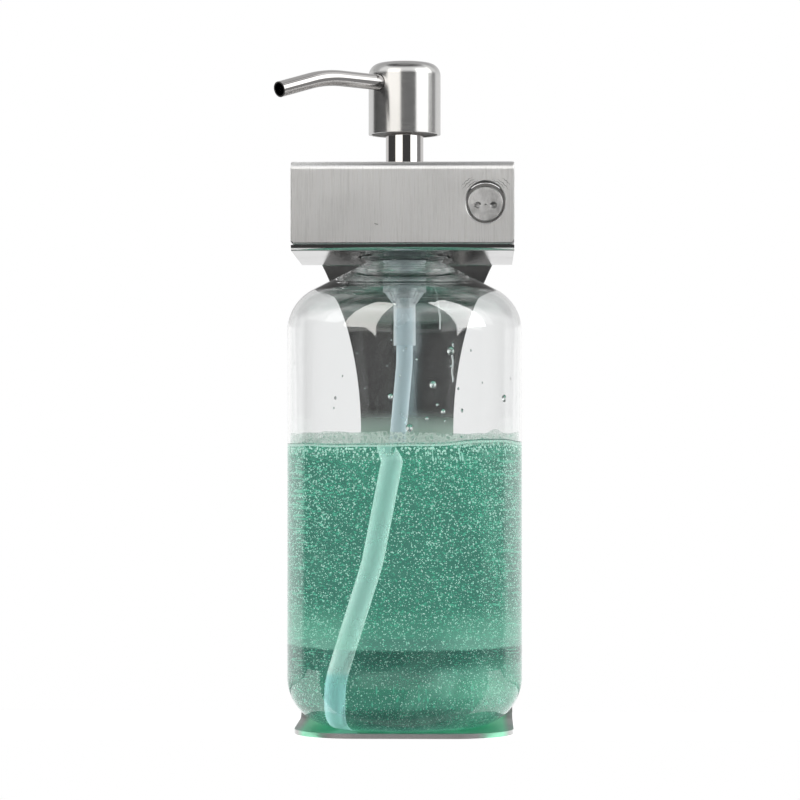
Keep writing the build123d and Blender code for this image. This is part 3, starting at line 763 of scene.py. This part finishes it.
def make_drops():
    """Soap drops held on the inside of the clear wall."""
    vertices = []
    faces = []
    sides = 12
    rings = 5
    wall = BOTTLE_R - WALL_T
    for azimuth, height, radius in DROPS:
        start = len(vertices)
        bulge = 0.55 * radius * MM
        for ring in range(rings + 1):
            share = ring / rings
            width = radius * MM * math.cos(share * math.pi / 2)
            depth = bulge * math.sin(share * math.pi / 2)
            for side in range(sides):
                turn = 2 * math.pi * side / sides
                across = width * math.cos(turn)
                up = width * math.sin(turn) * (1.25 if math.sin(turn) < 0 else 0.95)
                angle = math.radians(azimuth) + across / wall
                reach = wall + 0.05 * MM - depth
                vertices.append((
                    reach * math.cos(angle), reach * math.sin(angle), LEVEL_Z + height * MM + up
                ))
        for ring in range(rings):
            for side in range(sides):
                after = (side + 1) % sides
                low = start + ring * sides
                faces.append((low + side, low + after, low + sides + after, low + sides + side))
        faces.append(tuple(start + side for side in range(sides))[::-1])
        faces.append(tuple(start + rings * sides + side for side in range(sides)))
    return mesh_object("wall_drops", vertices, faces)


def make_runs():
    """Two thin runs of soap down the inside of the shoulder and wall."""
    wall = BOTTLE_R - WALL_T - 0.05 * MM
    points = []
    for angle, reach, z in (
        (-66, 15.0, 144.2), (-68, 20.0, 143.8), (-69, 26.0, 142.4), (-70.5, 31.5, 139.3),
        (-71.5, 35.0, 135.4), (-71.2, 36.5, 131.5), (-71.4, 36.85, 127.5),
    ):
        turn = math.radians(angle)
        points.append(Vector((reach * MM * math.cos(turn), reach * MM * math.sin(turn), z * MM)))
    smooth = []
    for index in range(len(points) - 1):
        for step in range(6):
            smooth.append(points[index].lerp(points[index + 1], step / 6))
    run = tube_mesh("soap_run", smooth + [points[-1]], 0.24 * MM, 8)
    lower = []
    for step in range(18):
        turn = math.radians(-65.0 + 0.25 * math.sin(step * 0.9))
        lower.append(Vector((wall * math.cos(turn), wall * math.sin(turn), (124.0 - step * 0.75) * MM)))
    other = tube_mesh("soap_run_low", lower, 0.3 * MM, 8)
    return run, other


# ---- Return spring ----

def make_spring():
    """Closed-end coil as long as the CAD part's spring; the real one flattens as the pump is pressed."""
    wire = 0.4 * MM
    radius = spring_high.x - wire
    low = spring_low.z + wire
    high = spring_high.z - wire
    turns = 5.5
    dead = 0.75
    points = []
    per_turn = 28
    total = turns + 2 * dead
    count = int(total * per_turn)
    for step in range(count + 1):
        turn = total * step / count
        share = min(max((turn - dead) / turns, 0.0), 1.0)
        rise = low + (high - low) * share
        angle = 2 * math.pi * turn
        points.append(Vector((radius * math.cos(angle), radius * math.sin(angle), rise)))
    return tube_mesh("spring_coil", points, wire, 10)


# ---- Specks in the soap ----

# Clear lane in front of the dip tube, which keeps it in plain sight: height and X of its middle, MM.
LANE = (
    (9.5, -20.9), (20.1, -20.3), (30.4, -17.2), (40.6, -13.5), (51.1, -9.9), (61.5, -7.9),
    (77.0, -4.8), (88.5, -3.4), (95.0, -2.6),
)
LANE_HALF = 3.4 * MM


def in_lane(x, y, z):
    """Whether a speck would hang between the tube and the front wall."""
    if y > 0:
        return False
    for (low_z, low_x), (high_z, high_x) in zip(LANE, LANE[1:]):
        if z <= high_z * MM:
            share = max((z / MM - low_z) / (high_z - low_z), 0.0)
            middle = low_x + (high_x - low_x) * share
            return abs(x - middle * MM) < LANE_HALF
    return False


def make_specks(count):
    """Thousands of tiny bubbles held in the soap, most of them near the bottle's wall."""
    corners = [(1, 0, 0), (-1, 0, 0), (0, 1, 0), (0, -1, 0), (0, 0, 1), (0, 0, -1)]
    sides = [
        (0, 2, 4), (2, 1, 4), (1, 3, 4), (3, 0, 4), (2, 0, 5), (1, 2, 5), (3, 1, 5), (0, 3, 5)
    ]
    vertices = []
    faces = []
    floor_z = BASE_Z + 3 * MM
    limit = WALL_T + 0.35 * MM
    while len(vertices) < count * len(corners):
        height = random.uniform(floor_z, LEVEL_Z - 0.5 * MM)
        reach = BOTTLE_R - limit
        if height < BASE_Z + HEEL_R:
            drop = BASE_Z + HEEL_R - height
            reach = BOTTLE_R - HEEL_R + math.sqrt(max((HEEL_R - limit) ** 2 - drop ** 2, 0.0))
        radius = reach * random.random() ** 0.10
        angle = random.uniform(0, 2 * math.pi)
        growth = 0.82 + 4.5 * height    # specks are larger higher up in the soap
        size = random.choice((0.09, 0.12, 0.15, 0.19, 0.25)) * MM * growth
        across, ahead = radius * math.cos(angle), radius * math.sin(angle)
        if in_lane(across, ahead, height):
            continue
        start = len(vertices)
        for x, y, z in corners:
            vertices.append((across + size * x, ahead + size * y, height + size * z))
        faces += [tuple(start + corner for corner in side) for side in sides]
    return mesh_object("soap_specks", vertices, faces)


# ---- Marks of use on the hood ----

# Curved scratches about the lock: radius, from and to in degrees above the user's right, MM.
SCRATCHES = (
    (7.6, 108, 142), (8.5, 112, 150), (9.3, 116, 146), (7.7, 38, 74), (8.4, 30, 66), (9.6, 36, 58),
)


def add_ribbon(vertices, faces, points, front, width):
    """Add a thin raised line that narrows at both ends, along (x, z) points on the hood's face."""
    start = len(vertices)
    for index, (px, pz) in enumerate(points):
        before = points[max(index - 1, 0)]
        after = points[min(index + 1, len(points) - 1)]
        dx, dz = after[0] - before[0], after[1] - before[1]
        size = math.hypot(dx, dz)
        half = width / 2 * math.sin(math.pi * (index + 0.5) / len(points))
        nx, nz = -dz / size * half, dx / size * half
        vertices.append((px + nx, front, pz + nz))
        vertices.append((px - nx, front, pz - nz))
        vertices.append((px, front + 0.05 * MM, pz))
    for index in range(len(points) - 1):
        low = start + 3 * index
        for one, two in ((0, 1), (1, 2), (2, 0)):
            faces.append((low + one, low + two, low + 3 + two, low + 3 + one))
    faces.append((start, start + 2, start + 1))
    end = start + 3 * (len(points) - 1)
    faces.append((end, end + 1, end + 2))


def make_scratches():
    """Curved scratches that the key left around the lock, and a small nick to its left."""
    joints = frame["record"]["behaviour"]["joints"]
    lock = next(joint for joint in joints if joint["name"] == "lock_turn")
    x, _, z = lock["pos_m"]
    front = hood_low.y - 0.004 * MM
    vertices = []
    faces = []
    steps = 16
    for radius, low, high in SCRATCHES:
        line = []
        for step in range(steps + 1):
            angle = math.radians(low + (high - low) * step / steps)
            reach = radius * MM + 0.12 * MM * math.sin(step * 1.3 + radius)
            line.append((x + reach * math.cos(angle), z + reach * math.sin(angle)))
        add_ribbon(vertices, faces, line, front, 0.20 * MM)
    nick_x, nick_z = x - 34.8 * MM, z - 6.0 * MM
    nick = [
        (nick_x + along * MM, nick_z - down * MM)
        for along, down in ((0.0, 0.0), (0.4, 0.25), (0.9, 0.4), (1.3, 0.35))
    ]
    add_ribbon(vertices, faces, nick, front, 0.32 * MM)
    return mesh_object("hood_scratches", vertices, faces)


# ---- World, floor and camera ----

# Softboxes: direction of the middle, half width, lower and upper edge in degrees, colour.
# Direction 0 is behind the camera and +90 is at the object's +X side.
PANELS = (
    (-34.0, 22.5, 3.2, 40, (1.80, 1.76, 1.69)),     # large warm softbox on the left
    (61.0, 22.5, 3.2, 40, (2.05, 2.05, 2.04)),      # brighter softbox on the right
    (112.0, 16.0, 14.0, 58, (0.80, 0.80, 0.80)),    # high panel at the right rear
    (-112.0, 18.0, 18.0, 58, (0.50, 0.50, 0.50)),   # high panel at the left rear
    (91.0, 9.0, 9.0, 44, (1.75, 1.75, 1.73)),       # narrow upright panel at the right
)
BESIDE = 90.0       # panels beyond this direction don't show in clear plastic's mirror image
ROOM = 0.06
CEILING = 0.92      # lit ceiling above the camera
SIDE_ROOM = 0.26
ROOF = 0.30
TABLE = 0.45        # front part of the table, which low polished surfaces mirror

# Clear plastic mirrors the two softboxes taller, narrower, leaning apart at the foot and tilted.
MIRROR_UP_SCALE = 0.40      # scales the upward coordinate: under 1 makes a panel taller
MIRROR_UP_SHIFT = 0.0447
MIRROR_SIDE_SCALE = 1.3     # scales the sideways coordinate: over 1 makes a panel narrower
LEAN_FOOT = 0.214
LEAN_TOP = 0.096
SLANT = 0.04
SLANT_DROP = 0.012
GLASS_GAIN = 5.8    # how much brighter the two softboxes are there


def flat_view(tree, direction, middle):
    """Where a direction meets an upright plane that faces the object: to the side, and up."""
    x, y, z = direction
    turn = math.radians(middle)
    ahead = maths(tree, "ADD", times(tree, x, math.sin(turn)), times(tree, y, -math.cos(turn)))
    aside = maths(tree, "ADD", times(tree, x, math.cos(turn)), times(tree, y, math.sin(turn)))
    depth = maths(tree, "MAXIMUM", ahead, 0.001)
    return maths(tree, "DIVIDE", aside, depth), maths(tree, "DIVIDE", z, depth)


def softbox(tree, direction, mirrored, middle, half_width, low, high):
    """Mask of an upright rectangle of light, reshaped where mirrored is 1."""
    place, up = flat_view(tree, direction, middle)
    side = math.copysign(1.0, middle)
    reach = math.tan(math.radians(half_width))
    foot, top = math.tan(math.radians(low)), math.tan(math.radians(high))
    up = times(tree, up, remap(tree, mirrored, 0.0, 1.0, 1.0, MIRROR_UP_SCALE))
    up = maths(tree, "ADD", up, remap(tree, mirrored, 0.0, 1.0, 0.0, MIRROR_UP_SHIFT))
    slant = maths(tree, "SUBTRACT", times(tree, place, -side * SLANT), SLANT_DROP)
    tilted = maths(tree, "ADD", up, times(tree, slant, mirrored))
    upwards = window(tree, tilted, foot, top, 0.003)
    lean = remap(tree, up, 0.0, top, -side * LEAN_FOOT, side * LEAN_TOP)
    place = maths(tree, "ADD", place, times(tree, lean, mirrored))
    place = times(tree, place, remap(tree, mirrored, 0.0, 1.0, 1.0, MIRROR_SIDE_SCALE))
    return times(tree, window(tree, place, -reach, reach, 0.06), upwards)


def surroundings(tree, azimuth, height):
    """Light backdrop behind the object, dim room with a lit ceiling, table front and roof."""
    turn = maths(tree, "ABSOLUTE", azimuth)
    ceiling = window(tree, height, 15.0, 55.0, 8.0)
    room = mix_colour(tree, ceiling, grey(ROOM), grey(CEILING))
    side = window(tree, azimuth, 84.0, 122.0, 6.0)
    base = mix_colour(tree, side, room, grey(SIDE_ROOM))
    high_back = times(
        tree,
        remap(tree, height, 3.4, 4.6, 1.0, 0.72),
        remap(tree, height, 10.0, 40.0, 1.0, 0.62),
    )
    low_back = remap(tree, height, -9.0, -5.5, 0.30, 1.0)
    back_level = times(tree, times(tree, high_back, low_back), 1.02)
    back = remap(tree, turn, 113.0, 121.0, 0.0, 1.0)
    base = mix_colour(tree, back, base, mix_colour(tree, back_level, grey(0.0), grey(1.0)))
    table = window(tree, height, -14.0, -4.6, 1.2)
    table = times(tree, table, remap(tree, turn, 25.0, 60.0, 1.0, 0.0))
    base = mix_colour(tree, table, base, grey(TABLE))
    return mix_colour(tree, remap(tree, height, 74.0, 82.0, 0.0, 1.0), base, grey(ROOF))


def make_world():
    """Studio that the object reflects; the camera itself sees plain white."""
    world = bpy.data.worlds.new("studio")
    bpy.context.scene.world = world
    world.use_nodes = True
    tree = world.node_tree
    tree.nodes.clear()
    output = add(tree, "ShaderNodeOutputWorld")
    direction = add(tree, "ShaderNodeTexCoord").outputs["Generated"]
    x, y, z = add(tree, "ShaderNodeSeparateXYZ", {"Vector": direction}).outputs
    flat = add(tree, "ShaderNodeCombineXYZ", {"X": times(tree, y, -1.0), "Y": x})
    around = add(tree, "ShaderNodeTexGradient", {"Vector": flat.outputs[0]}, gradient_type="RADIAL")
    azimuth = remap(tree, around.outputs["Fac"], 0.0, 1.0, -180.0, 180.0)
    height = times(tree, maths(tree, "ARCSINE", z), math.degrees(1.0))
    colour = surroundings(tree, azimuth, height)
    # Clear plastic's direct mirror image is seen by perfectly sharp rays early on their way.
    path = add(tree, "ShaderNodeLightPath")
    first = maths(tree, "LESS_THAN", path.outputs["Ray Depth"], 2.5)
    mirrored = times(tree, path.outputs["Is Singular Ray"], first)
    gain = remap(tree, mirrored, 0.0, 1.0, 1.0, GLASS_GAIN)
    for middle, half_width, low, high, level in PANELS:
        mask = softbox(tree, (x, y, z), mirrored, middle, half_width, low, high)
        power = gain
        if abs(middle) > BESIDE:
            power = 1.0
            mask = times(tree, mask, maths(tree, "SUBTRACT", 1.0, mirrored))
        panel = add(tree, "ShaderNodeVectorMath", {0: level, "Scale": power}, operation="SCALE")
        colour = mix_colour(tree, mask, colour, panel.outputs[0])
    lit = add(tree, "ShaderNodeBackground", {"Color": colour, "Strength": 1.0})
    plain = add(tree, "ShaderNodeBackground", {"Color": grey(1.0), "Strength": 1.0})
    both = mix_shader(tree, path.outputs["Is Camera Ray"], lit, plain)
    tree.links.new(both.outputs[0], output.inputs["Surface"])


def make_floor(material):
    """Sheet of pale paper under the tray."""
    half_width = 300.0 * MM
    front = -25.0 * MM
    back = 70.0 * MM
    below = -0.2 * MM
    columns = 9
    rows = 7
    vertices = []
    faces = []
    for row in range(rows):
        y = front + (back - front) * row / (rows - 1)
        for column in range(columns):
            vertices.append((half_width * (2 * column / (columns - 1) - 1), y, below))
    for row in range(rows - 1):
        for column in range(columns - 1):
            start = row * columns + column
            faces.append((start, start + 1, start + columns + 1, start + columns))
    floor = mesh_object("studio_floor", vertices, faces)
    floor.data.materials.append(material)


def make_camera():
    """Long lens, level with the bottle's middle and a little to the right."""
    data = bpy.data.cameras.new("camera")
    data.lens = 141.0
    data.sensor_width = 36.0
    data.clip_end = 100.0
    camera = bpy.data.objects.new("camera", data)
    bpy.context.scene.collection.objects.link(camera)
    camera.location = (22.86 * MM, -1009.0 * MM, 93.5 * MM)
    aim = Vector((-1.48 * MM, 0.0, 106.38 * MM))
    camera.rotation_euler = (aim - camera.location).to_track_quat("-Z", "Y").to_euler()
    bpy.context.scene.camera = camera


def set_render():
    """Light paths long enough for a filled bottle, and plain colour management."""
    scene = bpy.context.scene
    scene.cycles.max_bounces = 24
    scene.cycles.transmission_bounces = 20
    scene.cycles.glossy_bounces = 8
    scene.cycles.diffuse_bounces = 4
    scene.cycles.transparent_max_bounces = 24
    scene.cycles.volume_bounces = 2
    scene.cycles.caustics_refractive = True
    scene.cycles.caustics_reflective = True
    scene.view_settings.view_transform = "Standard"
    scene.view_settings.look = "None"
    scene.view_settings.exposure = 0.0
    scene.view_settings.gamma = 1.0


# ---- Build ----

steels = {
    "hood": brushed_steel(
        "hood_brushed", (0.98, 0.98, 0.975), 0.45, (3400.0, 3400.0, 150.0), streak=0.19,
        anisotropy=1.0, wear=0.35, bump=0.4,
    ),
    "bracket": brushed_steel(
        "bracket_brushed", (0.60, 0.595, 0.59), 0.11, (4200.0, 4200.0, 110.0), streak=0.06, bump=0.10,
        anisotropy=0.4, film=True,
    ),
    "head": brushed_steel(
        "head_turned", (0.74, 0.735, 0.725), 0.22, (1800.0, 1800.0, 7000.0), streak=0.03, turn=0.25,
        anisotropy=0.5, bump=0.015, wear=0.15,
    ),
    "shade": brushed_steel(
        "shaded_steel", (0.30, 0.295, 0.29), 0.45, (900.0, 900.0, 900.0), anisotropy=0.0
    ),
    "scratch": brushed_steel(
        "scratched_steel", (0.47, 0.47, 0.465), 0.42, (3000.0, 3000.0, 3000.0), streak=0.3,
        anisotropy=0.6,
    ),
    "polished": brushed_steel(
        "polished_steel", (0.74, 0.72, 0.71), 0.07, (400.0, 400.0, 9000.0), streak=0.03, bump=0.08,
        turn=0.25, anisotropy=0.4, wear=0.3,
    ),
    "lock": brushed_steel(
        "lock_steel", (0.90, 0.90, 0.90), 0.42, (2500.0, 2500.0, 900.0), streak=0.16, anisotropy=1.0,
        wear=0.8, smut=0.50, smut_size=190.0, bump=0.3,
    ),
    "spring": brushed_steel(
        "spring_wire", (0.55, 0.55, 0.56), 0.18, (900.0, 900.0, 900.0), anisotropy=0.0
    ),
}
# The glow colours below are a painted glow for the pump's plastic and the dip tube.
natural = plastic(
    "natural_polyethylene", (0.92, 0.96, 0.97), 0.22, clarity=0.80, grain=180.0, bump=0.03,
    glow=((0.10, 0.112, 0.115),) * 3,
)
tubing = plastic(
    "tube_polyethylene", (0.86, 0.95, 0.97), 0.25, clarity=0.65, grain=120.0, bump=0.03,
    glow=((0.42, 0.33, 0.40), (0.80, 0.42, 0.47), (0.125, 0.145, 0.155)),
)
foam_film = foam("soap_foam")
drop = drop_liquid("soap_drop")
white = plastic("white_polypropylene", (0.85, 0.86, 0.86), 0.4)
seal = rubber("seal_rubber")
clear = clear_plastic("clear_pet")
liquid = soap_liquid("green_soap")
bubbles = speck_material("glowing_soap_bubbles")

finishes = {
    "wall_plate": steels["bracket"],
    "neck_shelf": steels["bracket"],
    "shelf_rivets": steels["polished"],
    "lock_hood": steels["hood"],
    "lock_body": steels["shade"],
    "lock_plug": steels["lock"],
    "lock_cam": steels["lock"],
    "cam_screw": steels["spring"],
    "soap_bottle": clear,
    "soap_fill": liquid,
    "dip_tube": tubing,
    "collar_liner": white,
    "collar_shell": steels["polished"],
    "neck_gasket": seal,
    "pump_housing": natural,
    "housing_cap": white,
    "inlet_ball": steels["spring"],
    "return_spring": steels["spring"],
    "piston": white,
    "piston_seal": seal,
    "pump_stem": natural,
    "outlet_ball": steels["spring"],
    "stem_sleeve": steels["polished"],
    "head_shell": steels["head"],
    "head_base": steels["shade"],
    "head_insert": white,
    "spout": steels["polished"],
}
for node_name, finish in finishes.items():
    data = frame["nodes"][node_name].data
    data.materials.clear()
    data.materials.append(finish)

finish_piece(make_bottle(), "bracket", "clear_bottle", clear, "soap_bottle")
finish_piece(make_soap(), "bracket", "soap", liquid, "soap_fill")
finish_piece(make_specks(26000), "bracket", "soap", bubbles)
finish_piece(make_froth(), "bracket", "soap", foam_film)
finish_piece(make_meniscus(), "bracket", "soap", bubbles)
finish_piece(make_bubble_collar(460), "bracket", "soap", bubbles)
finish_piece(make_foam_bubbles(520), "bracket", "soap", drop)
finish_piece(make_drops(), "bracket", "soap", drop)
for run in make_runs():
    finish_piece(run, "bracket", "soap", drop)
finish_piece(make_scratches(), "hood", "hood_steel", steels["scratch"])
spring = finish_piece(make_spring(), "bracket", "spring_steel", steels["spring"], "return_spring")
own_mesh(spring)

make_world()
make_floor(floor_material("studio_floor"))
make_camera()
set_render()
